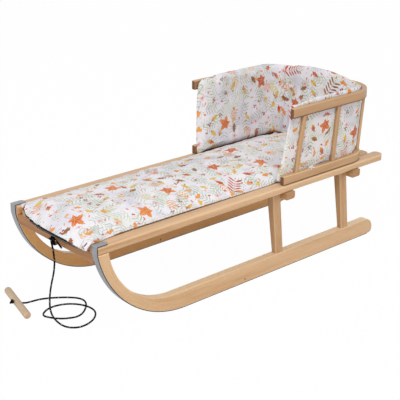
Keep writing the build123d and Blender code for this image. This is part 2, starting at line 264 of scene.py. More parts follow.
def tubeMesh(bm, line, radius, sides, closed=False):  # a tube round a line, with its own length and turn as UV
    uvLayer = bm.loops.layers.uv.get("braidMap") or bm.loops.layers.uv.new("braidMap")
    count = len(line)
    ahead = np.roll(line, -1, 0) - np.roll(line, 1, 0)
    if not closed:
        ahead[0] = line[1] - line[0]
        ahead[-1] = line[-1] - line[-2]
    ahead /= np.linalg.norm(ahead, axis=1)[:, None]
    side = np.cross(ahead[0], (0, 0, 1.0) if abs(ahead[0][2]) < 0.9 else (0, 1.0, 0))
    steps = np.linalg.norm(np.diff(np.vstack([line, line[:1]]) if closed else line, axis=0), axis=1)
    travel = np.concatenate([[0], np.cumsum(steps)])
    rings = []
    for index in range(count):
        side = side - ahead[index] * np.dot(side, ahead[index])
        side /= np.linalg.norm(side)
        other = np.cross(ahead[index], side)
        ring = []
        for step in range(sides):
            angle = fullTurn * step / sides
            ring.append(bm.verts.new(line[index] + radius * (math.cos(angle) * side + math.sin(angle) * other)))
        rings.append(ring)
    for index in range(count if closed else count - 1):
        after = rings[(index + 1) % count]
        for step in range(sides):
            following = (step + 1) % sides
            face = bm.faces.new((rings[index][step], rings[index][following], after[following], after[step]))
            face.smooth = True
            turns = (step, step + 1, step + 1, step)
            ends = (index, index, index + 1, index + 1)
            for loop, turn, end in zip(face.loops, turns, ends):
                loop[uvLayer].uv = (turn / sides, travel[end])
    if not closed:
        bm.faces.new(list(reversed(rings[0])))
        bm.faces.new(rings[-1])


def meshPiece(name, bm, material):
    bmesh.ops.recalc_face_normals(bm, faces=bm.faces)
    mesh = bpy.data.meshes.new(name)
    bm.to_mesh(mesh)
    bm.free()
    piece = addObject(name, mesh)
    if material:
        mesh.materials.append(material)
    return piece


def knotLine(centre, reach, ahead, samples=18):  # an overhand knot: a trefoil drawn tight round a middle line
    turns = [fullTurn * step / samples for step in range(samples)]
    ahead = Vector(ahead).normalized()
    side = ahead.orthogonal().normalized()
    over = ahead.cross(side)
    points = []
    for t in turns:
        flat = math.sin(t) + 2 * math.sin(2 * t)
        tall = math.cos(t) - 2 * math.cos(2 * t)
        deep = -1.5 * math.sin(3 * t)
        points.append(Vector(centre) + reach * (flat * side + tall * over + deep * ahead))
    return splinePoints(points, closed=True, smooth=6)


def braidMaterial():
    look = {"black": paint(9, 9, 10), "sheenBlack": paint(14, 14, 15), "fleck": paint(226, 225, 220),
            "strands": 8.0, "pitch": 9.0 * mm, "fleckEvery": 12.0 * mm}
    material, root = newMaterial("flecked_braid")
    turn, travel, spare = root.node("ShaderNodeUVMap", {"uv_map": "braidMap"}).split()
    left = turn * look["strands"] + travel * (look["strands"] / look["pitch"] / 2)
    right = turn * look["strands"] - travel * (look["strands"] / look["pitch"] / 2)
    weave = root.math("SINE", left * fullTurn) * root.math("SINE", right * fullTurn)
    beat = root.math("FRACT", travel / look["fleckEvery"] + turn * 2.0)
    band = root.math("FRACT", turn * 3.0 + travel / (look["fleckEvery"] * 2.0))
    fleck = beat.soft(0.38, 0.43) * beat.soft(0.60, 0.55) * band.soft(0.40, 0.46) * band.soft(0.70, 0.64)
    thread = weave * 0.5 + 0.5
    colour = thread.shade(look["black"], look["sheenBlack"]).mix(look["fleck"], fleck)
    surface(root, {"Base Color": colour, "Roughness": 0.7 + thread * 0.2, "Specular IOR Level": 0.1,
                   "Normal": bump(root, thread, 0.5, 0.4 * mm)})
    return material


braid = braidMaterial()
cordLine = splinePoints([Vector(point) * mm for point in cordRoute], smooth=cordLook["smooth"])
cordRadius = cordLook["diameter"] / 2 * cordLook["flatness"]


def cordTube(bm, line, closed=False):
    tubeMesh(bm, line, cordRadius, cordLook["sides"], closed)


def makeCord():
    bm = bmesh.new()
    cordTube(bm, cordLine)
    return meshPiece("flecked_pull_cord", bm, braid)


def barTurn(middle, halfX, halfZ, inset, y):  # control points of one turn of cord round a bar
    points = []
    for sideX, sideZ in ((1, 1), (-1, 1), (-1, -1), (1, -1)):
        trio = [(sideX * halfX, sideZ * (halfZ - inset)), (sideX * halfX, sideZ * halfZ),
                (sideX * (halfX - inset), sideZ * halfZ)]
        points += trio if sideX * sideZ > 0 else trio[::-1]
    return [middle + Vector((x, y, z)) for x, z in points]


def makeLashing(look):
    barLow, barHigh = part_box("crossbar_nose")
    middle = Vector(((barLow.x + barHigh.x) / 2, 0, (barLow.z + barHigh.z) / 2))
    stand = look["gap"] + cordRadius
    halfX = (barHigh.x - barLow.x) / 2 + stand
    halfZ = (barHigh.z - barLow.z) / 2 + stand
    bm = bmesh.new()
    for turn in range(look["turns"]):
        y = (turn - (look["turns"] - 1) / 2) * look["pitch"]
        points = barTurn(middle, halfX, halfZ, look["round"], y)
        cordTube(bm, splinePoints(points, closed=True, smooth=6), closed=True)
    centre = Vector((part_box("cord_knot")[1].x - look["knotInset"], 0, middle.z))
    cordTube(bm, knotLine(centre, look["knotReach"], look["knotAhead"]), closed=True)
    start = Vector(cordLine[0])
    cordTube(bm, splinePoints([centre, centre.lerp(start, 0.5), start]))
    cordTube(bm, splinePoints([centre + Vector(step) * mm for step in look["tail"]]))
    return meshPiece("nose_bar_lashing", bm, braid)


def makeEndKnot(look):
    low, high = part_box("cord_end_knot")
    centre = (low + high) / 2
    handleLow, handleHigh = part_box("pull_handle")
    outwards = (centre - (handleLow + handleHigh) / 2).normalized()
    bm = bmesh.new()
    cordTube(bm, knotLine(centre, look["knotReach"], outwards), closed=True)
    start = Vector(cordLine[-1])
    cordTube(bm, splinePoints([start, start.lerp(centre, 0.5), centre]))
    aside = Vector((-outwards.y, outwards.x, 0))
    tail = [centre, centre + outwards * 0.5 * look["tail"] + aside * 3 * mm,
            centre + outwards * 0.8 * look["tail"] + aside * 7 * mm - Vector((0, 0, 4 * mm))]
    cordTube(bm, splinePoints(tail))
    return meshPiece("cord_end_knot_tied", bm, braid)


pullCord = makeCord()
lashing = makeLashing(lashingLook)
endKnot = makeEndKnot(endKnotLook)
print("stage: cord")


# Beech: grain runs along each piece, and round the bends of the runners and hoops
# inner paints light on faces turned to the middle, warm and bright on runner and rail insides; the hoop looks turn it
# into painted shade
beechLook = {"pale": paint(226, 192, 152), "warm": paint(213, 175, 133), "deep": paint(190, 146, 100),
             "fleck": paint(164, 114, 72), "ends": paint(156, 100, 56), "worn": paint(238, 208, 168),
             "inner": paint(244, 186, 114), "top": paint(248, 219, 181), "innerPaintedShadingShare": 0.9, "topPaintedLightShare": 0.0,
             "fleckShare": 0.40, "endShare": 0.35, "wearAndHighlightShare": 0.45, "roughness": 0.40, "coat": 0.2}
figureScales = {"plank": (1.2, 7.0, 1.0), "bands": (3.5, 75.0, 3.0), "streaks": (14.0, 420.0, 2.0),
                "dashes": (120.0, 1500.0, 1.0)}  # along the grain, across it, detail
# the runners take the top colour of beechLook as painted light on their upper faces
runnerLook = dict(beechLook, topPaintedLightShare=0.7)
railLook = dict(beechLook, pale=paint(217, 181, 142), warm=paint(203, 164, 124), deep=paint(180, 136, 92),
                innerPaintedShadingShare=0.2)
brownBeechLook = dict(beechLook, pale=paint(206, 170, 130), warm=paint(192, 152, 110), deep=paint(166, 122, 80),
                      worn=paint(224, 190, 148), innerPaintedShadingShare=0.25)
# a darker copy of the beech for the nose bar: painted shade from the cushion's lip above it
paintedShadeNoseBarLook = dict(beechLook, pale=paint(184, 130, 76), warm=paint(168, 114, 62), deep=paint(140, 90, 46),
                   worn=paint(198, 150, 98))
# hoop colours: inner paints shade on the hoops' insides; ends paints the end grain and also the painted contact shadow
# along each hoop's foot
hoopLook = dict(beechLook, pale=paint(196, 158, 118), warm=paint(184, 144, 104), deep=paint(160, 118, 78),
                worn=paint(222, 188, 146), ends=paint(106, 62, 34), endShare=1.0,
                inner=paint(152, 108, 68), innerPaintedShadingShare=0.85)
# the low hoop's worn colour at a high share paints a highlight along its top edge, along with some wear
lowHoopLook = dict(hoopLook, pale=paint(210, 172, 130), warm=paint(198, 159, 117), deep=paint(174, 132, 90),
                   worn=paint(238, 206, 164), wearAndHighlightShare=0.8)
dowelLook = dict(beechLook, pale=paint(213, 192, 169), warm=paint(197, 174, 148), deep=paint(174, 149, 119),
                 ends=paint(184, 152, 118), innerPaintedShadingShare=0.0, roughness=0.58, coat=0.0)
runnerBend = {"start": 0.2294, "radius": 0.258, "sole": 0.002, "tail": -0.460}
hoopBends = {"backrest_low_hoop": 0.080, "backrest_top_hoop": 0.086}
# arm is how far the end grain reaches; footShadeFrom and footShadeTo set how far the painted contact shadow reaches up
# each hoop's foot
hoopEndsAndFootShade = {"arm": 0.02, "footShadeFrom": 5 * mm, "footShadeTo": 2 * mm}  # how far end grain and the darker foot reach
handleAxis = Vector((0.23853, 0.97113, 0.0))


def roundedEdge(first, second):  # 1 where a surface turns from one way of facing to another
    return abs(first).soft(0.25, 0.55) * abs(second).soft(0.25, 0.55)


def straightGrain(axis):
    def grain(root):
        place = objectPlace(root)
        normal = objectNormal(root)
        one, two = [index for index in range(3) if index != axis]
        ends = abs(normal[axis]).soft(0.55, 0.9)
        return place[axis], place[one], place[two], ends, roundedEdge(normal[one], normal[two])
    return grain


def bentRunnerGrain(root):  # along the sole, then round the nose's outer arc
    x, y, z = objectPlace(root)
    ahead = root.math("MAXIMUM", x - runnerBend["start"], 0.0)
    down = (runnerBend["sole"] + runnerBend["radius"]) - z
    along = root.math("MINIMUM", x, runnerBend["start"]) + root.math("ARCTAN2", ahead, down) * runnerBend["radius"]
    depth = root.math("SQRT", ahead * ahead + down * down)
    normal = objectNormal(root)
    ends = abs(normal[0]).soft(0.7, 0.95) * (x < runnerBend["tail"])
    sides = abs(normal[1])
    return along, y, depth, ends, sides.soft(0.25, 0.5) * sides.soft(0.97, 0.85)


def bentHoopGrain(name):  # along one arm, round the corners and back along the other arm
    low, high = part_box(name)
    corner = hoopBends[name]
    bendX = low.x + corner
    bendY = high.y - corner

    def grain(root):
        x, y, z = objectPlace(root)
        back = root.math("MAXIMUM", bendX - x, 0.0)
        out = root.math("MAXIMUM", abs(y) - bendY, 0.0)
        arm = root.math("MAXIMUM", x - bendX, 0.0)
        middle = root.math("MAXIMUM", bendY - abs(y), 0.0)
        along = (root.math("ARCTAN2", back, out) * corner - arm + middle) * root.math("SIGN", y)
        depth = root.math("SQRT", back * back + out * out)
        normal = objectNormal(root)
        armEnds = normal[0].soft(0.45, 0.8) * (x > high.x - hoopEndsAndFootShade["arm"])
        # painted contact shadow along the foot of each hoop, mixed in with the end grain
        paintedFootShade = z.soft(low.z + hoopEndsAndFootShade["footShadeFrom"], low.z + hoopEndsAndFootShade["footShadeTo"])
        ends = root.math("MAXIMUM", armEnds, paintedFootShade)
        upright = abs(normal[2])
        return along, depth, z, ends, upright.soft(0.25, 0.5) * upright.soft(0.97, 0.85)
    return grain


def dowelGrain(root):
    x, y, z = objectPlace(root)
    normal = objectNormal(root)
    along = x * handleAxis.x + y * handleAxis.y
    across = x * handleAxis.y - y * handleAxis.x
    ends = abs(normal[0] * handleAxis.x + normal[1] * handleAxis.y).soft(0.6, 0.95)
    return along, across, z, ends, ends * 0.3


def beechMaterial(name, grain, look, seed):
    material, root = newMaterial(name)
    along, across, through, ends, edges = grain(root)

    def figure(name):  # noise drawn out along the grain
        lengthScale, widthScale, detail = figureScales[name]
        return noiseAt(root, along * lengthScale + seed, across * widthScale, through * widthScale, detail)
    plank, bands, streaks = figure("plank"), figure("bands"), figure("streaks")
    dashes = figure("dashes").soft(0.60, 0.72)
    tone = plank * 0.45 + bands * 0.4 + streaks * 0.3
    stops = [(0.36, look["deep"]), (0.54, look["warm"]), (0.74, look["pale"])]
    colour = root.node("ShaderNodeValToRGB", {"stops": stops}, {0: tone})
    # painted light and shade on faces turned to the middle: runner and rail insides lightened, hoop insides darkened
    inward = objectNormal(root)[1] * root.math("SIGN", objectPlace(root)[1])  # tone of faces turned to the middle
    colour = colour.mix(look["inner"], inward.soft(-0.5, -0.9) * look["innerPaintedShadingShare"])
    # painted light on upper faces
    if look["topPaintedLightShare"]:  # tone of upper faces
        colour = colour.mix(look["top"], objectNormal(root)[2].soft(0.7, 0.95) * look["topPaintedLightShare"])
    colour = colour.mix(look["fleck"], dashes * look["fleckShare"])
    # rounded edges lighter: wear, and a painted highlight along them
    colour = colour.mix(look["worn"], edges * look["wearAndHighlightShare"] * (0.5 + plank * 0.6))
    pores = noiseAt(root, across * 900.0, through * 900.0, along * 20.0, 2.0)
    # the ends colour marks end grain, and on the hoops it also marks the painted contact shadow at the foot
    colour = colour.mix(look["ends"], ends * look["endShare"] * (0.75 + pores * 0.4))
    surface(root, {"Base Color": colour, "Roughness": look["roughness"] + streaks * 0.12 + ends * 0.15,
                   "Coat Weight": look["coat"], "Coat Roughness": 0.28, "Specular IOR Level": 0.4,
                   "Normal": bump(root, streaks * 0.6 - dashes * 0.5, 0.25, 0.3 * mm)})
    return material


def dress(node, material):
    slots = nodes[node].data.materials
    slots.clear()
    slots.append(material)


beechPieces = [  # the first line that fits a node's name dresses it; the last number shifts the figure
    (("side_rail", "seat_slat"), "rail_beech", straightGrain(0), railLook, 1.0),
    (("runner_left", "runner_right"), "bent_runner_beech", bentRunnerGrain, runnerLook, 11.0),
    ("crossbar_nose", "nose_bar_beech_painted_shade", straightGrain(1), paintedShadeNoseBarLook, 9.0),
    ("crossbar", "crossbar_beech", straightGrain(1), brownBeechLook, 4.0),
    (("leg", "spindle"), "upright_beech", straightGrain(2), brownBeechLook, 7.0),
    ("backrest_low_hoop", "backrest_low_hoop_beech", bentHoopGrain("backrest_low_hoop"), lowHoopLook, 17.0),
    ("backrest_top_hoop", "backrest_top_hoop_beech", bentHoopGrain("backrest_top_hoop"), hoopLook, 17.0),
    ("pull_handle", "sanded_dowel", dowelGrain, dowelLook, 23.0),
]
dressed = set()
for starts, name, grain, look, seed in beechPieces:
    material = beechMaterial(name, grain, look, seed)
    for node in nodes:
        if node.startswith(starts) and node not in dressed:
            dress(node, material)
            dressed.add(node)
print("stage: beech")


# Steel straps: satin, brushed along their length, with painted shade on the side edges
strapLook = {"face": paint(138, 142, 148), "worn": paint(176, 178, 182), "edge": paint(52, 54, 60),
             "roughness": 0.36, "brush": 1400.0}


def strapMaterial(look):
    material, root = newMaterial("satin_strap_steel")
    along, across, depth, ends, rounded = bentRunnerGrain(root)
    brushed = noiseAt(root, along * 9.0, across * look["brush"], 0.0, 2.0)
    clouds = noiseAt(root, along * 16.0, across * 60.0, depth * 40.0, 3.0)
    # the straps' side edges take the edge colour as painted shade
    paintedEdgeShade = abs(objectNormal(root)[1]).soft(0.55, 0.85)
    colour = (brushed * 0.5 + clouds * 0.4).shade(look["face"], look["worn"]).mix(look["edge"], paintedEdgeShade * 0.85)
    surface(root, {"Base Color": colour, "Metallic": 1.0, "Roughness": look["roughness"] + clouds * 0.2,
                   "Normal": bump(root, brushed, 0.15, 0.1 * mm)})
    return material


strapSteel = strapMaterial(strapLook)
for side in ("left", "right"):
    dress("runner_strap_" + side, strapSteel)
print("stage: straps")


# Printed cotton: autumn leaves, sprigs, blossoms and berries on white, in grids of cells turned at random
printLook = {"ground": paint(231, 229, 235), "wash": paint(214, 212, 223), "rust": paint(194, 78, 40),
             "orange": paint(226, 136, 62), "ochre": paint(220, 190, 90), "sage": paint(184, 198, 164),
             "moss": paint(152, 168, 142), "pink": paint(224, 192, 190), "maroon": paint(146, 58, 56),
             "bark": paint(144, 92, 50), "roughness": 0.85, "sheen": 0.2, "thread": 0.9 * mm,
             "bigCell": (0.146, 5.0, 0.86), "starShare": 0.55, "starLeaf": 0.027, "holdOff": (0.028, 0.026),
             "branch": (0.028, 5.0, 0.0105, 0.0034),
             "middleCells": ((0.041, 9.0, 0.74), (0.048, 33.0, 0.60)), "middleShares": (0.32, 0.46, 0.62, 0.80),
             "oakLeaf": (0.0140, 0.0060), "smallSprig": (0.015, 4.0, 0.0070, 0.0018), "blossom": 0.0095,
             "berries": 0.0065, "fanLeaf": 0.0135,
             "sprigCells": ((0.047, 21.0, 0.85), (0.061, 27.0, 0.75)), "paleSprig": (0.024, 5.0, 0.0085, 0.0015),
             "grassCell": (0.055, 41.0, 0.7), "grass": 0.026,
             "petalCell": (0.025, 14.0, 0.40), "petal": (0.0050, 0.0022),
             "dotCell": (0.018, 17.0, 0.32), "dot": (0.0013, 0.0013)}  # cells: size, seed, share that is filled


def motifCells(root, u, v, size, seed, wander):  # a half-drop grid of turned cells with random numbers
    column = root.math("FLOOR", u / size)
    rise = v / size + (column % 2.0) * 0.5
    row = root.math("FLOOR", rise)
    key = root.node("ShaderNodeCombineXYZ", {}, {0: column, 1: row, 2: seed})
    chance = root.node("ShaderNodeTexWhiteNoise", {"noise_dimensions": "3D"}, {"Vector": key}, out="Color").split()
    across = (u / size - column - 0.5 + (chance[1] - 0.5) * wander) * size
    up = (rise - row - 0.5 + (chance[2] - 0.5) * wander) * size
    angle = chance[0] * fullTurn
    cosine = root.math("COSINE", angle)
    sine = root.math("SINE", angle)
    choice = root.math("FRACT", chance[0] * 7.0 + chance[1] * 3.0)
    return across * cosine + up * sine, up * cosine - across * sine, choice, chance[2]


def polar(root, x, y):
    return root.math("ARCTAN2", y, x), root.math("SQRT", x * x + y * y)


def oval(x, y, halfLong, halfWide, softness=0.3):
    reach = (x / halfLong) * (x / halfLong) + (y / halfWide) * (y / halfWide)
    return reach.soft(1.0, 1.0 - softness)


def stroke(x, y, start, end, halfWide):  # a thin line along x
    return abs(y).soft(halfWide, halfWide * 0.5) * x.soft(start - halfWide, start) * x.soft(end + halfWide, end)


def oakLeaf(root, x, y, long, wide):  # a blade along x with wavy sides; its shape and its veins
    run = root.math("MINIMUM", root.math("MAXIMUM", (x / long) * 0.5 + 0.5, 0.0), 1.0)
    wave = 1.0 + root.math("SINE", run * (fullTurn * 3.5)) * 0.22
    shape = (abs(y) - root.math("SINE", run * math.pi) * wave * wide).soft(0.0004, -0.0006)
    ribs = root.math("FRACT", run * 5.0 - abs(y) / wide * 0.6).soft(0.14, 0.0)
    return shape, root.math("MAXIMUM", stroke(x, y, -long * 1.5, long * 0.8, 0.0005), ribs * 0.7)


def starLeaf(root, x, y, reach):  # five pointed lobes, the first the longest, a vein in each, and a stalk
    angle, distance = polar(root, x, y)
    tip = abs(root.math("FRACT", angle * (5.0 / fullTurn)) - 0.5) * 2.0
    teeth = root.math("SINE", angle * 25.0) * 0.05
    length = root.math("POWER", tip, 1.25) * 0.5 + 0.5 + teeth
    shape = (distance - length * (0.8 + root.math("COSINE", angle) * 0.2) * reach).soft(0.0005, -0.0008)
    veins = ((1.0 - tip) * distance).soft(0.0016, 0.0005)
    return root.math("MAXIMUM", shape, stroke(x, y, -reach * 1.1, 0.0, 0.0008)), veins, distance / reach


def fanLeaf(root, x, y, reach):  # a fan on a stalk, with fine rays
    angle, distance = polar(root, x, y)
    notch = abs(angle).soft(0.25, 0.0) * 0.28
    edge = (1.0 - notch + root.math("SINE", angle * 16.0) * 0.03) * reach
    shape = (distance - edge).soft(0.0004, -0.0006) * abs(angle).soft(1.0, 0.92)
    rays = root.math("SINE", angle * 40.0) * 0.5 + 0.5
    return root.math("MAXIMUM", shape, stroke(x, y, -reach * 0.7, 0.0, 0.0005)), rays


def sprig(root, x, y, long, pairs, leafLong, leafWide):  # a stem with mirrored leaflets
    step = 2.0 * long / pairs
    local = (root.math("FRACT", (x + long) / step) - 0.5) * step
    out = abs(y) - leafLong * 0.9
    leaflet = oval(out - local * 0.5, local - out * 0.7, leafLong * 0.75, leafWide)
    return root.math("MAXIMUM", stroke(x, y, -long, long, 0.0006), leaflet * (abs(x) < long))


def grassTuft(root, x, y, reach):  # thin blades that fan out from one foot
    angle, distance = polar(root, x + reach * 0.5, y)
    blades = (abs(root.math("SINE", angle * 7.0)) * distance).soft(0.0052, 0.0020)
    return blades * abs(angle).soft(0.85, 0.7) * distance.soft(reach, reach * 0.75) * distance.soft(0.0, 0.003)


def blossom(root, x, y, reach):  # five petals round a small heart
    angle, distance = polar(root, x, y)
    petals = (root.math("COSINE", angle * 5.0) * 0.28 + 0.72) * reach
    return (distance - petals).soft(0.0004, -0.0006), distance.soft(reach * 0.28, reach * 0.2)


def berries(root, x, y, reach):
    total = oval(x - reach * 0.6, y, reach * 0.42, reach * 0.42)
    for across, up in ((-0.3, 0.5), (-0.35, -0.45)):
        total = root.math("MAXIMUM", total, oval(x - reach * across, y - reach * up, reach * 0.4, reach * 0.4))
    return total


def middleMotifs(root, colour, look, u, v, free, bleed, cell):  # one motif to a cell
    size, seed, present = cell
    x, y, choice, tint = motifCells(root, u, v, size, seed, 0.35)
    free = free * (tint < present)
    oaks, sprigs, blossoms, fruits = look["middleShares"]
    shape, veins = oakLeaf(root, x, y, *look["oakLeaf"])
    mask = shape * (choice < oaks) * free
    warm = (tint * 1.4 + x * 30.0).soft(0.25, 0.75).shade(look["rust"], look["ochre"])
    colour = colour.mix(warm.mix(look["bark"], choice.soft(0.20, 0.24)), mask * bleed)
    colour = colour.mix(look["bark"], veins * mask * 0.6)
    mask = sprig(root, x, y, *look["smallSprig"]) * (choice > oaks) * (choice < sprigs) * free
    colour = colour.mix(tint.soft(0.2, 0.5).shade(look["ochre"], look["orange"]), mask * bleed)
    petals, heart = blossom(root, x, y, look["blossom"])
    mask = (choice > sprigs) * (choice < blossoms) * free
    colour = colour.mix(look["pink"], petals * mask * bleed).mix(look["rust"], heart * mask * 0.8)
    mask = (choice > blossoms) * (choice < fruits) * free
    colour = colour.mix(look["bark"], stroke(x, y, -0.012, 0.003, 0.0006) * mask * 0.8)
    colour = colour.mix(look["maroon"], berries(root, x, y, look["berries"]) * mask * bleed)
    shape, rays = fanLeaf(root, x + 0.005, y, look["fanLeaf"])
    mask = shape * (choice > fruits) * free
    return colour.mix((rays * 0.35 + tint).soft(0.2, 0.9).shade(look["orange"], look["ochre"]), mask * bleed)


def fineMotifs(root, colour, look, u, v, free, bleed):  # pale sprigs and tufts of grass behind the rest
    for size, seed, present in look["sprigCells"]:
        x, y, choice, tint = motifCells(root, u, v, size, seed, 0.5)
        mask = sprig(root, x, y, *look["paleSprig"]) * (choice < present) * free
        colour = colour.mix(tint.soft(0.2, 0.9).shade(look["moss"], look["sage"]), mask * 0.85 * bleed)
    size, seed, present = look["grassCell"]
    x, y, choice, tint = motifCells(root, u, v, size, seed, 0.5)
    mask = grassTuft(root, x, y, look["grass"]) * (choice < present) * free
    return colour.mix(tint.soft(0.3, 0.7).shade(look["sage"], look["moss"]), mask * 0.8 * bleed)


def smallMotif(root, look, name, u, v, wander):  # loose ovals, and the tint of each
    size, seed, present = look[name + "Cell"]
    x, y, choice, tint = motifCells(root, u, v, size, seed, wander)
    return oval(x, y, *look[name]) * (choice < present), tint


def printMaterial(look):
    material, root = newMaterial("printed_cotton")
    u, v, spare = root.node("ShaderNodeUVMap", {"uv_map": "clothMap"}).split()
    bleed = noiseAt(root, u * 70.0, v * 70.0, 0.0, 3.0) * 0.8 + 0.55  # how wet each stroke was
    wobble = (noiseAt(root, u * 160.0, v * 160.0, 4.0, 1.0) - 0.5) * 0.0022
    inkU = u + wobble
    inkV = v - wobble
    blot = noiseAt(root, u * 13.0, v * 13.0, 8.0, 2.0)
    colour = blot.soft(0.46, 0.70).shade(look["ground"], look["wash"])
    colour = colour.mix(look["sage"], blot.soft(0.47, 0.34) * 0.28)
    size, seed, share = look["bigCell"]  # large motifs hold the rest off
    x, y, choice, tint = motifCells(root, inkU, inkV, size, seed, 0.5)
    present = choice < share
    free = 1.0 - oval(x, y, *look["holdOff"], 0.4) * present
    colour = fineMotifs(root, colour, look, inkU, inkV, free, bleed)
    for cell in look["middleCells"]:
        colour = middleMotifs(root, colour, look, inkU, inkV, free, bleed, cell)
    petal, petalTint = smallMotif(root, look, "petal", inkU, inkV, 0.5)
    colour = colour.mix(petalTint.soft(0.3, 0.7).shade(look["orange"], look["rust"]), petal * free * bleed)
    colour = colour.mix(look["maroon"], smallMotif(root, look, "dot", inkU, inkV, 0.6)[0] * free * 0.8)
    shape, veins, run = starLeaf(root, x, y, look["starLeaf"])
    leaf = shape * (choice < share * look["starShare"])
    warm = (tint * 0.6 + run * 0.6 - bleed * 0.2).soft(0.1, 0.8).shade(look["rust"], look["orange"])
    colour = colour.mix(warm, leaf * (bleed * 0.6 + 0.4)).mix(look["ochre"], veins * leaf * 0.6)
    branch = sprig(root, x, y, *look["branch"]) * present * (choice > share * look["starShare"])
    leafy = (tint + y * 20.0).soft(0.2, 0.8).shade(look["bark"], look["rust"])
    colour = colour.mix(leafy, branch * (bleed * 0.7 + 0.3))
    weave = root.math("SINE", u * (fullTurn / look["thread"])) * root.math("SINE", v * (fullTurn / look["thread"]))
    slubs = noiseAt(root, u * 900.0, v * 60.0, 2.0, 1.0)
    surface(root, {"Base Color": colour, "Roughness": look["roughness"] + weave * 0.04,
                   "Sheen Weight": look["sheen"], "Sheen Roughness": 0.5, "Specular IOR Level": 0.25,
                   "Normal": bump(root, weave * 0.5 + slubs, 0.12, 0.25 * mm)})
    return material


def plainCloth(name, colour):
    material, root = newMaterial(name)
    x, y, z = objectPlace(root)
    fibre = noiseAt(root, x * 1600.0, y * 1600.0, z * 1600.0, 2.0)
    surface(root, {"Base Color": (fibre * 0.1).shade(colour, (0.12, 0.12, 0.12, 1.0)), "Roughness": 0.9,
                   "Specular IOR Level": 0.2, "Normal": bump(root, fibre, 0.3, 0.3 * mm)})
    return material


printedCotton = printMaterial(printLook)
# dark cloth for the cushion's underside, also used as painted shade under the front lip
darkLiningAndLipShade = plainCloth("dark_lining_and_lip_shade", paint(12, 12, 13))
whiteTape = plainCloth("white_tape", paint(236, 235, 232))
print("stage: printed cotton")


# Padded pieces: a first form, a voxel remesh, pressure, a capped swell, then seams and folds
def applyModifiers(piece):
    bpy.context.view_layer.update()
    mesh = bpy.data.meshes.new_from_object(piece.evaluated_get(bpy.context.evaluated_depsgraph_get()))
    old = piece.data
    piece.modifiers.clear()
    piece.data = mesh
    bpy.data.meshes.remove(old)
    mesh.name = piece.name


def coordinates(piece):
    values = np.empty(len(piece.data.vertices) * 3)
    piece.data.vertices.foreach_get("co", values)
    return values.reshape(-1, 3)


def setCoordinates(piece, values):
    piece.data.vertices.foreach_set("co", np.ascontiguousarray(values, dtype=float).ravel())
    piece.data.update()


def twoSheets(name, first, second):  # a closed form from two grids of points that share an edge
    columns, rows = first.shape[:2]
    count = columns * rows
    faces = []
    for i in range(columns - 1):
        for j in range(rows - 1):
            a = i * rows + j
            quad = (a, a + rows, a + rows + 1, a + 1)
            faces.append(quad)
            faces.append(tuple(count + corner for corner in reversed(quad)))
    rim = [i * rows for i in range(columns)]
    rim += [(columns - 1) * rows + j for j in range(1, rows)]
    rim += [i * rows + rows - 1 for i in range(columns - 2, -1, -1)]
    rim += list(range(rows - 2, 0, -1))
    faces += [(a, count + a, count + b, b) for a, b in zip(rim, rim[1:] + rim[:1])]
    points = np.concatenate([first.reshape(-1, 3), second.reshape(-1, 3)])
    bm = bmesh.new()
    verts = [bm.verts.new(point) for point in points]
    for face in faces:
        bm.faces.new([verts[corner] for corner in face])
    return meshPiece(name, bm, None)


def remesh(piece, voxel):
    modifier = piece.modifiers.new("evenGrid", "REMESH")
    modifier.mode = "VOXEL"
    modifier.voxel_size = voxel
    relax = piece.modifiers.new("relax", "SMOOTH")
    relax.factor = 0.5
    relax.iterations = 3
    applyModifiers(piece)


clothSettings = {"quality": 5, "mass": 0.25, "tension_stiffness": 18, "compression_stiffness": 14,
                 "shear_stiffness": 8, "bending_stiffness": 1.2, "use_pressure": True, "vertex_group_mass": "held"}
clothFrames = 20


def swell(piece, look, held):  # cloth pressure, held by weight, no point moving past the cap
    before = coordinates(piece)
    group = piece.vertex_groups.new(name="held")
    for index, weight in enumerate(held(before)):
        if weight > 0.01:
            group.add([index], float(weight), "REPLACE")
    modifier = piece.modifiers.new("pressure", "CLOTH")
    for key, value in clothSettings.items():
        setattr(modifier.settings, key, value)
    modifier.settings.uniform_pressure_force = look["pressure"]
    modifier.settings.effector_weights.gravity = 0.0
    modifier.collision_settings.use_collision = False
    modifier.point_cache.frame_start = 1
    modifier.point_cache.frame_end = clothFrames
    for step in range(1, clothFrames + 1):
        scene.frame_set(step)
    applyModifiers(piece)
    scene.frame_set(1)
    move = coordinates(piece) - before
    size = np.linalg.norm(move, axis=1)[:, None]
    setCoordinates(piece, before + move * np.minimum(1.0, look["cap"] / np.maximum(size, 1e-9)))
    piece.vertex_groups.clear()


def ramp(value, start, end):  # smooth step for arrays
    share = np.clip((value - start) / (end - start), 0.0, 1.0)
    return share * share * (3 - 2 * share)


def wrinkle(points, scale, seed):  # smooth noise at each point
    shift = Vector((seed, seed * 0.7, seed * 1.3))
    return np.array([noise.noise(Vector(point) * scale + shift) for point in points])


def finishCloth(piece, mapping):  # one subdivision, smooth faces and a cloth map in metres
    modifier = piece.modifiers.new("smooth", "SUBSURF")
    modifier.levels = 1
    modifier.render_levels = 1
    applyModifiers(piece)
    piece.data.polygons.foreach_set("use_smooth", [True] * len(piece.data.polygons))
    u, v = mapping(coordinates(piece))
    corners = np.empty(len(piece.data.loops), dtype=np.int32)
    piece.data.loops.foreach_get("vertex_index", corners)
    layer = piece.data.uv_layers.new(name="clothMap")
    layer.data.foreach_set("uv", np.stack([u[corners], v[corners]], 1).astype(np.float32).ravel())
    piece.data.materials.append(printedCotton)


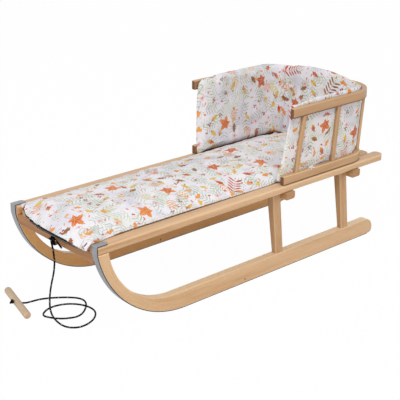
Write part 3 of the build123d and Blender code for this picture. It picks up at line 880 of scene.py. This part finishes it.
seatLook = {"front": 0.5085, "back": -0.416, "skew": 0.25, "bow": 0.0150, "corner": 0.001, "backCorner": 0.020,
            "droop": 0.0145, "lipStart": 0.4840, "lipEnd": 0.496, "flatFrom": -0.080, "flatTo": -0.130,
            "rest": 0.2304, "edge": 0.0115, "crown": 0.0185, "backRise": 0.05, "frontRise": 0.065, "fullness": 2.2,
            "voxel": 0.0052, "pressure": 4.0, "cap": 0.005, "columns": 150, "rows": 60,
            "near": [(-0.416, 0.122), (-0.385, 0.138), (-0.34, 0.1470), (-0.12, 0.1475), (-0.098, 0.1535),
                     (-0.02, 0.1525), (0.13, 0.151), (0.254, 0.1495), (0.37, 0.1475), (0.425, 0.1520),
                     (0.455, 0.1585), (0.509, 0.1595)],
            "far": [(-0.416, 0.122), (-0.385, 0.138), (-0.34, 0.1470), (-0.12, 0.1475), (-0.098, 0.1465),
                    (0.067, 0.1425), (0.236, 0.1375), (0.361, 0.1350), (0.42, 0.1335), (0.455, 0.1335),
                    (0.475, 0.1370), (0.509, 0.1420)],
            "seamHeight": 0.0052, "seamDepth": 0.0016, "seamWidth": 0.0026, "fold": 0.0026, "pucker": 0.0009,
            "pleats": 0.034, "sink": 0.0038, "sinkFrom": -0.130, "sinkTo": -0.090, "lipDrop": 0.016,
            "liningTurn": -0.80, "lipTurn": 0.35, "lipFar": -0.126, "lipNear": 0.152, "lipShadeHeight": 0.0135,
            "lipShadeFrom": 0.160, "lipShadeTo": 0.115, "printShift": 0.5}
strapTongue = {"back": 0.447, "front": 0.4872, "inner": 0.1572, "top": 0.2328}


def seatEdge(x, side):  # half width on the near side (side above 0) or the far side
    near = np.interp(x, *zip(*seatLook["near"]))
    far = np.interp(x, *zip(*seatLook["far"]))
    return np.where(side > 0, near, far)


def seatFront(share):  # the front edge runs askew and bows out
    look = seatLook
    return look["front"] - look["bow"] * (share - look["skew"]) ** 2 - look["corner"] * ramp(np.abs(share), 0.85, 1.0)


def seatFloor(x, y):  # the underside lies on the slats and droops past their ends, less so at the far corner
    hang = seatLook["droop"] * ramp(y, seatLook["flatTo"], seatLook["flatFrom"])
    return seatLook["rest"] - hang * ramp(x, seatLook["lipStart"], seatLook["lipEnd"])


def makeSeatCushion(look):
    along, share = np.meshgrid(np.linspace(0, 1, look["columns"]), np.linspace(-1, 1, look["rows"]), indexing="ij")
    front = seatFront(share)
    back = look["back"] + look["backCorner"] * ramp(np.abs(share), 0.7, 1.0)
    x = back + (front - back) * along
    y = share * seatEdge(x, share)
    rise = np.clip(np.minimum((x - back) / look["backRise"], (front - x) / look["frontRise"]), 0, 1)
    full = (1 - np.abs(share) ** look["fullness"]) * (1 - (1 - rise) ** look["fullness"])
    bottom = seatFloor(x, y) + 0.5 * mm
    top = bottom + look["edge"] + look["crown"] * full
    piece = twoSheets("printed_seat_cushion", np.stack([x, y, top], -1), np.stack([x, y, bottom], -1))
    remesh(piece, look["voxel"])
    swell(piece, look, lambda points: ramp(points[:, 2] - seatFloor(points[:, 0], points[:, 1]), 4 * mm, 1 * mm))
    shapeSeat(piece, look)
    finishCloth(piece, seatMapping)
    darkenUndersideAndLip(piece, look)
    return piece


def shapeSeat(piece, look):
    points = coordinates(piece)
    x, y, z = points.T
    edge = seatEdge(x, y)
    fromSide = edge + 2 * mm - np.abs(y)
    fromFront = seatFront(np.clip(y / edge, -1, 1)) + 2 * mm - x
    above = ramp(z - seatFloor(x, y), 5 * mm, 14 * mm)
    folds = wrinkle(points * np.array([1.0, 0.5, 0.6]), 26.0, 2.0) + 0.5 * wrinkle(points, 55.0, 6.0)
    gather = np.sin(x * fullTurn / look["pleats"] + 3.0 * wrinkle(points, 9.0, 5.0))
    gather = gather * ramp(np.abs(y) / edge, 0.70, 0.98) * ramp(fromFront, 20 * mm, 60 * mm)
    z = z + above * ramp(fromFront, 3 * mm, 45 * mm) * folds * look["fold"] + above * gather * look["pucker"]
    groove = look["seamDepth"] * np.exp(-((z - seatFloor(x, y) - look["seamHeight"]) / look["seamWidth"]) ** 2)
    groove = groove * ramp(np.minimum(fromSide, fromFront), 9 * mm, 4 * mm)
    y = y - np.sign(y) * groove * (fromSide < fromFront)
    x = x - groove * (fromSide >= fromFront)
    sink = look["sink"] * ramp(fromSide, 16 * mm, 3 * mm) * ramp(fromFront, 4 * mm, 30 * mm)
    z = z - sink * ramp(x, look["sinkFrom"], look["sinkTo"])  # soft sides lie on the rails, ahead of the backrest
    lowest = look["rest"] - look["lipDrop"] * ramp(x, look["lipStart"], look["lipStart"] + 5 * mm)
    z = np.maximum(z, lowest)
    onTongue = (x > strapTongue["back"]) & (x < strapTongue["front"]) & (np.abs(y) > strapTongue["inner"])
    z = np.where(onTongue, np.maximum(z, strapTongue["top"]), z)
    setCoordinates(piece, np.stack([x, y, z], 1))


def seatMapping(points):
    x, y, z = points.T
    drop = np.maximum(seatFloor(x, y) + 12 * mm - z, 0.0)
    atFront = x > seatLook["lipStart"]
    return x + seatLook["printShift"] + drop * atFront, y + np.sign(y) * drop * ~atFront


# faces that turn down take a dark lining; a band along the front lip's lower edge takes the same dark cloth as painted
# shade beneath the lip
def darkenUndersideAndLip(piece, look):  # faces that turn down and the lip's lowest edge take the dark lining
    piece.data.materials.append(darkLiningAndLipShade)
    normals = np.empty(len(piece.data.polygons) * 3)
    middles = np.empty(len(piece.data.polygons) * 3)
    piece.data.polygons.foreach_get("normal", normals)
    piece.data.polygons.foreach_get("center", middles)
    x, y, z = middles.reshape(-1, 3).T
    slope = normals.reshape(-1, 3)[:, 2]
    lipShadeBand = (x > look["lipStart"]) & (y > look["lipFar"]) & (y < look["lipNear"]) & (slope < look["lipTurn"])
    # painted shade: the dark cloth climbs the lip's lower edge as a band that thins out toward the near corner
    height = look["lipShadeHeight"] * ramp(y, look["lipShadeFrom"], look["lipShadeTo"])
    lipShadeBand = lipShadeBand & (z < seatFloor(x, y) + height)
    under = (slope < look["liningTurn"]) | lipShadeBand
    piece.data.polygons.foreach_set("material_index", under.astype(np.int32))


seatCushion = makeSeatCushion(seatLook)
print("stage: seat cushion,", len(seatCushion.data.polygons), "faces")


# Back liner: one padded strip bent round inside the hoops, sewn from three panels
linerLook = {"thick": 0.0155, "round": 0.0085, "bottom": 0.2312, "sideTop": 0.4475, "seamTop": 0.4415,
             "backTop": 0.4535, "frontTop": 0.4410, "frontRound": 0.024, "back": 0.100, "corner": 0.110, "arm": 0.262,
             "seamAtTop": 0.112, "seamAtFoot": 0.134, "seamPinch": 0.70, "seamReach": 0.024, "seamDepth": 0.0030,
             "seamWidth": 0.0028, "seamHold": 0.005, "clear": 0.0008, "bulge": 0.0024, "riseReach": 0.10,
             "fallReach": 0.11, "edgeSeam": 0.010, "edgeDepth": 0.0014, "edgeWidth": 0.0026, "voxel": 0.0046,
             "pressure": 4.0, "cap": 0.005, "columns": 190, "rows": 46, "frontLow": -0.1010, "frontHigh": -0.1180,
             "fold": 0.0028, "pull": 0.0011, "pullPitch": 0.036, "pullReach": 0.022, "liftAt": -0.262,
             "liftReach": 0.048, "lift": 0.0262, "printShift": 0.031}
hoopThick = 0.014
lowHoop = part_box("backrest_low_hoop")
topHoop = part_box("backrest_top_hoop")
linerEnd = linerLook["back"] + linerLook["corner"] + linerLook["arm"]


def linerPlan(z):  # half width, corner radius, back and front of the liner's outer face at a height
    share = np.clip((z - lowHoop[1].z) / (topHoop[0].z - lowHoop[1].z), 0.0, 1.0)

    def between(low, top):
        return low + (top - low) * share
    half = between(lowHoop[1].y, topHoop[1].y) - hoopThick
    radius = between(hoopBends["backrest_low_hoop"], hoopBends["backrest_top_hoop"]) - hoopThick
    back = between(lowHoop[0].x, topHoop[0].x) + hoopThick
    return half, radius, back, between(linerLook["frontLow"], linerLook["frontHigh"])


def linerPlace(distance, z, depth):  # from the distance along it, the height and the depth in from the outer face
    half, radius, back, front = linerPlan(z)
    away = np.abs(distance)
    onBack = np.clip(away / linerLook["back"], 0, 1)
    angle = np.clip((away - linerLook["back"]) / linerLook["corner"], 0, 1) * math.pi / 2
    onArm = np.maximum(away - linerLook["back"] - linerLook["corner"], 0) / linerLook["arm"]
    x = back + radius - (radius - depth) * np.cos(angle) + onArm * (front - back - radius)
    y = onBack * (half - radius) + (radius - depth) * np.sin(angle)
    return np.stack([x, y * np.sign(distance), z + np.zeros_like(x)], -1)


def linerTop(away):  # level along the sides, dipping at the seams, arched along the back, rounded at the front
    look = linerLook
    arch = np.cos(np.clip(away / look["seamAtTop"], 0, 1) * math.pi / 2)
    onBack = look["seamTop"] + (look["backTop"] - look["seamTop"]) * arch
    rise = ramp(away, look["seamAtTop"], look["seamAtTop"] + look["riseReach"])
    fall = ramp(away, linerEnd - look["fallReach"], linerEnd)
    onSide = look["seamTop"] + (look["sideTop"] - look["seamTop"]) * rise - (look["sideTop"] - look["frontTop"]) * fall
    corner = np.clip((away - (linerEnd - look["frontRound"])) / look["frontRound"], 0, 1)
    rounding = look["frontRound"] * (1 - np.sqrt(1 - corner ** 2))
    return np.where(away < look["seamAtTop"], onBack, onSide) - rounding


def linerSeam(z):  # how far from the middle of the back the seam runs at a height
    share = np.clip((z - linerLook["bottom"]) / (linerLook["backTop"] - linerLook["bottom"]), 0, 1)
    return linerLook["seamAtFoot"] + (linerLook["seamAtTop"] - linerLook["seamAtFoot"]) * share


def linerCoordinates(points):  # the way back: distance along it, depth in from the outer face, and the way out
    x, y, z = points.T
    half, radius, back, front = linerPlan(z)
    away = np.abs(y)
    alongArm = x - (back + radius)
    past = away - (half - radius)
    onArm = alongArm > 0
    onBack = (past < 0) & ~onArm
    angle = np.arctan2(np.maximum(past, 0), np.maximum(-alongArm, 1e-9))
    bend = linerLook["back"] + linerLook["corner"]
    distance = linerLook["back"] + angle / (math.pi / 2) * linerLook["corner"]
    distance = np.where(onArm, bend + alongArm / (front - back - radius) * linerLook["arm"], distance)
    distance = np.where(onBack, away / (half - radius) * linerLook["back"], distance)
    depth = radius - np.hypot(np.minimum(alongArm, 0), np.maximum(past, 0))
    depth = np.where(onArm, half - away, np.where(onBack, x - back, depth))
    outX = np.where(onArm, 0.0, np.where(onBack, -1.0, -np.cos(angle)))
    outY = np.where(onArm, 1.0, np.where(onBack, 0.0, np.sin(angle))) * np.sign(y)
    return distance * np.sign(y), depth, np.stack([outX, outY, np.zeros_like(outX)], 1)


def makeBackLiner(look):
    distance, share = np.meshgrid(np.linspace(-linerEnd, linerEnd, look["columns"]),
                                  np.linspace(0, 1, look["rows"]), indexing="ij")
    away = np.abs(distance)
    top = linerTop(away)
    z = look["bottom"] + (top - look["bottom"]) * share
    nearest = np.minimum(np.minimum(top - z, z - look["bottom"]), linerEnd - away)
    rounded = np.sqrt(1 - (1 - np.clip(nearest / look["round"], 0, 1)) ** 2)
    pinch = 1 - look["seamPinch"] * np.exp(-((away - linerSeam(z)) / look["seamReach"]) ** 2)
    outer = look["clear"] + look["thick"] / 2 * (1 - rounded)
    aboveLow = ramp(z, lowHoop[1].z + 3 * mm, lowHoop[1].z + 25 * mm)
    belowTop = ramp(z, topHoop[0].z - 3 * mm, topHoop[0].z - 25 * mm)
    outer = outer - look["bulge"] * (aboveLow * belowTop)
    inner = outer + np.maximum(look["thick"] * pinch * rounded, 0.4 * mm)
    piece = twoSheets("printed_back_liner", linerPlace(distance, z, outer), linerPlace(distance, z, inner))
    remesh(piece, look["voxel"])
    swell(piece, look, linerHold)
    shapeLiner(piece, look)
    finishCloth(piece, linerMapping)
    return piece


def linerHold(points):
    distance, depth, out = linerCoordinates(points)
    seam = np.exp(-((np.abs(distance) - linerSeam(points[:, 2])) / linerLook["seamHold"]) ** 2)
    return np.maximum(ramp(depth, 5.0 * mm, 1.5 * mm), seam)


def shapeLiner(piece, look):
    points = coordinates(piece)
    distance, depth, out = linerCoordinates(points)
    z = points[:, 2]
    inside = ramp(depth, 5 * mm, 11 * mm)
    fromSeam = np.abs(distance) - linerSeam(z)
    groove = look["seamDepth"] * np.exp(-(fromSeam / look["seamWidth"]) ** 2)
    strip = np.stack([distance, z * 0.45, depth], 1)
    folds = wrinkle(strip, 24.0, 3.0) + 0.5 * wrinkle(strip, 60.0, 8.0)
    pulls = np.sin(z * fullTurn / look["pullPitch"] + 2.5 * wrinkle(points, 12.0, 7.0))
    pulls = pulls * np.exp(-np.abs(fromSeam) / look["pullReach"])
    fromEdge = linerEnd - np.abs(distance) - look["edgeSeam"]
    edgeSeam = look["edgeDepth"] * np.exp(-(fromEdge / look["edgeWidth"]) ** 2)
    move = groove * (0.35 + 0.65 * inside) + inside * (pulls * look["pull"] - folds * look["fold"])
    move = move + edgeSeam * np.where(depth > look["thick"] / 2, 1.0, -1.0)
    points = points + out * move[:, None]
    distance, depth, out = linerCoordinates(points)
    atLowHoop = z < lowHoop[1].z + 3 * mm
    atTopHoop = (z > topHoop[0].z - 3 * mm) & (z < topHoop[1].z + 3 * mm)
    limit = np.where(atLowHoop | atTopHoop, look["clear"], np.where(z > topHoop[1].z, -2 * mm, -look["bulge"]))
    points = points - out * np.maximum(limit - depth, 0.0)[:, None]
    hitch = look["lift"] * np.exp(-np.abs((points[:, 0] - look["liftAt"]) / look["liftReach"]) ** 3)
    points[:, 2] = np.maximum(points[:, 2], look["bottom"] + hitch * (points[:, 1] > 0))  # hitched up beside the tie
    setCoordinates(piece, points)


def linerMapping(points):
    distance, depth, out = linerCoordinates(points)
    return distance + linerLook["printShift"], points[:, 2] - depth


backLiner = makeBackLiner(linerLook)
print("stage: back liner,", len(backLiner.data.polygons), "faces")


# Repeats: geometry node trees set stitches along lines and screw heads at points
def newTree(name, inputs):  # an empty tree with named inputs, and their sockets inside it
    tree = bpy.data.node_groups.new(name, "GeometryNodeTree")
    tree.interface.new_socket("Result", in_out="OUTPUT", socket_type="NodeSocketGeometry")
    tree.interface.new_socket("Source", in_out="INPUT", socket_type="NodeSocketGeometry")
    for label, kind in inputs.items():
        tree.interface.new_socket(label, in_out="INPUT", socket_type=kind)
    entry = tree.nodes.new("NodeGroupInput")
    return Wire(tree), {socket.name: Wire(tree, socket) for socket in entry.outputs if socket.name}


def closeTree(root, instances, material):
    real = root.node("GeometryNodeRealizeInstances", {}, {0: instances})
    painted = root.node("GeometryNodeSetMaterial", {}, {"Geometry": real, "Material": material})
    root.node("NodeGroupOutput", {}, {0: painted})
    return root.tree


def stitchTree():
    root, given = newTree("stitchesAlongLines", {"Pitch": "NodeSocketFloat", "Size": "NodeSocketVector",
                                                 "Thread": "NodeSocketMaterial"})
    curve = root.node("GeometryNodeMeshToCurve", {}, {"Mesh": given["Source"]})
    spaced = root.node("GeometryNodeCurveToPoints", {"mode": "LENGTH"}, {"Curve": curve, "Length": given["Pitch"]})
    turned = Wire(root.tree, spaced.socket.node.outputs["Rotation"])
    bead = root.node("GeometryNodeMeshUVSphere", {}, {"Segments": 6, "Rings": 4, "Radius": 1.0})
    placed = root.node("GeometryNodeInstanceOnPoints", {}, {"Points": spaced, "Instance": bead, "Rotation": turned,
                                                            "Scale": given["Size"]})
    return closeTree(root, placed, given["Thread"])


def screwTree():
    root, given = newTree("screwHeads", {"Radius": "NodeSocketFloat", "Depth": "NodeSocketFloat",
                                         "Cross": "NodeSocketVector", "Seed": "NodeSocketInt",
                                         "Steel": "NodeSocketMaterial"})
    head = root.node("GeometryNodeMeshCylinder", {}, {"Vertices": 28, "Radius": given["Radius"],
                                                      "Depth": given["Depth"]})
    down = root.node("ShaderNodeCombineXYZ", {}, {2: given["Depth"] * -0.5})
    for turn in (0.0, math.pi / 2):
        bar = root.node("GeometryNodeMeshCube", {}, {"Size": given["Cross"]})
        bar = root.node("GeometryNodeTransform", {}, {"Geometry": bar, "Translation": down, "Rotation": (0, 0, turn)})
        head = root.node("GeometryNodeMeshBoolean", {"operation": "DIFFERENCE"}, {0: head, 1: bar})
    points = root.node("GeometryNodeMeshToPoints", {}, {"Mesh": given["Source"]})
    spin = root.node("FunctionNodeRandomValue", {"data_type": "FLOAT_VECTOR"},
                     {0: (0.0, 0.0, 0.0), 1: (0.0, 0.0, fullTurn), "Seed": given["Seed"]})
    placed = root.node("GeometryNodeInstanceOnPoints", {}, {"Points": points, "Instance": head, "Rotation": spin})
    return closeTree(root, placed, given["Steel"])


def grow(name, lines, tree, values):  # a mesh of lines or lone points, run through a tree
    mesh = bpy.data.meshes.new(name)
    points = [point for line in lines for point in line]
    edges = []
    for number, line in enumerate(lines):
        first = len(edges) + number
        edges += [(first + step, first + step + 1) for step in range(len(line) - 1)]
    mesh.from_pydata(points, edges, [])
    piece = addObject(name, mesh)
    modifier = piece.modifiers.new(tree.name, "NODES")
    modifier.node_group = tree
    for item in tree.interface.items_tree:
        if item.name in values:
            modifier[item.identifier] = values[item.name]
    applyModifiers(piece)
    return piece


stitchLook = {"Pitch": 4.2 * mm, "Size": (0.45 * mm, 0.45 * mm, 1.5 * mm), "beside": 4.5 * mm, "step": 6 * mm,
              "sideRun": (-0.09, 0.472), "frontRun": (-0.11, 0.135), "footClear": 0.032, "topClear": 0.014}
screwLook = {"Radius": 4.0 * mm, "Depth": 1.0 * mm, "Cross": (4.6 * mm, 1.0 * mm, 1.4 * mm), "Seed": 3,
             "rows": {"crossbar_mid": (0.0425, 0.1275, 0.1645), "crossbar_rear": (0.0425, 0.1275, 0.1645),
                      "crossbar_nose": (0.0425, 0.1275)}}


def surfaceFinder(piece, reach=0.12):  # gives the places where rays meet the piece
    tree = BVHTree.FromObject(piece, bpy.context.evaluated_depsgraph_get())

    def found(rays):
        hits = [tree.ray_cast(Vector(start), Vector(direction), reach)[0] for start, direction in rays]
        return [hit for hit in hits if hit is not None]
    return found


def seatStitches(look):
    found = surfaceFinder(seatCushion)
    lines = []
    for side in (1, -1):
        rays = []
        for x in np.arange(*look["sideRun"], look["step"]):
            height = float(seatFloor(x, side * 0.14)) + seatLook["seamHeight"]
            rays.append(((x, side * 0.22, height), (0, -side, 0)))
        lines.append(found(rays))
    rays = []
    for y in np.arange(*look["frontRun"], look["step"]):
        rays.append(((0.57, y, float(seatFloor(0.505, y)) + seatLook["seamHeight"]), (-1, 0, 0)))
    lines.append(found(rays))
    return lines


def linerStitches(look):
    found = surfaceFinder(backLiner)
    heights = np.arange(linerLook["bottom"] + look["footClear"], linerLook["frontTop"] - look["topClear"], look["step"])
    lines = []
    for side in (1, -1):
        seam = side * (linerSeam(heights) - look["beside"])
        edge = np.full_like(heights, side * (linerEnd - linerLook["edgeSeam"] - look["beside"]))
        for distance, depth, way in ((seam, 0.06, 1), (edge, 0.06, 1), (edge, -0.03, -1)):
            starts = linerPlace(distance, heights, np.full_like(heights, depth))
            outs = linerCoordinates(linerPlace(distance, heights, np.full_like(heights, 0.005)))[2] * way
            lines.append(found(zip(starts, outs)))
    return lines


def screwPlaces(look):
    places = []
    for bar, row in look["rows"].items():
        low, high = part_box(bar)
        for y in row:
            places += [[((low.x + high.x) / 2, side * y, low.z)] for side in (1, -1)]
    return places


stitches = grow("cushion_stitches", seatStitches(stitchLook) + linerStitches(stitchLook), stitchTree(),
                dict(stitchLook, Thread=plainCloth("sewing_thread", paint(206, 203, 206))))
screws = grow("crossbar_screws", screwPlaces(screwLook), screwTree(), dict(screwLook, Steel=strapSteel))
print("stage: stitches and screws,", len(stitches.data.polygons), len(screws.data.polygons), "faces")


# White tapes tie the liner to the low hoop, one in a small bow on either side
tieLook = {"x": -0.207, "inset": 5 * mm, "radius": 1.2 * mm, "sides": 8, "knot": 0.75 * mm, "knotLift": 1.2 * mm,
           "loops": [[(0, 0, 0), (3, 1, 2), (8, 2, 2.5), (10, 2.5, 1), (8, 2, 0.3), (3, 1, 0)],
                     [(0, 0, 0), (-2, 1, 3), (-5, 1.5, 5), (-7, 2, 3), (-5, 2, 0.6), (-2, 1, 0)]],
           "tails": [[(0, 0, 0), (2, 3, 1), (4, 7.2, 0.8), (6, 7.6, -2)],
                     [(0, 0, 0), (-2, 3, 1), (-4, 6.5, 1.2), (-7, 7.5, 0.4)],
                     [(0, 0, 0), (0, -3, 1), (0, -6, 2), (0, -7.4, 5)]]}


def makeTies(look):
    bm = bmesh.new()
    for side in (1, -1):
        centre = Vector((look["x"], side * (lowHoop[1].y - look["inset"]), lowHoop[1].z + look["radius"] * 1.2))

        def around(steps):
            return [centre + Vector((x, side * y, z)) * mm for x, y, z in steps]
        knot = knotLine(centre + Vector((0, 0, look["knotLift"])), look["knot"], (0, side, 0.4))
        tubeMesh(bm, knot, look["radius"], look["sides"], closed=True)
        for loop in look["loops"]:
            line = splinePoints(around(loop), closed=True, smooth=6)
            tubeMesh(bm, line, look["radius"], look["sides"], closed=True)
        for tail in look["tails"]:
            tubeMesh(bm, splinePoints(around(tail)), look["radius"], look["sides"])
    return meshPiece("liner_ties", bm, whiteTape)


ties = makeTies(tieLook)
print("stage: ties")


# Riding and replacing
def settle(piece, slotName, *replaced):
    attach(piece, "root")
    if replaced:
        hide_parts(*replaced)


settle(seatCushion, "cushion_fabric", "seat_cushion")
settle(backLiner, "cushion_fabric", "back_liner")
settle(pullCord, "cord", "pull_cord")
settle(lashing, "cord", "cord_knot")
settle(endKnot, "cord", "cord_end_knot")
settle(stitches, "cushion_fabric")
settle(ties, "cushion_fabric")
settle(screws, "strap_steel")
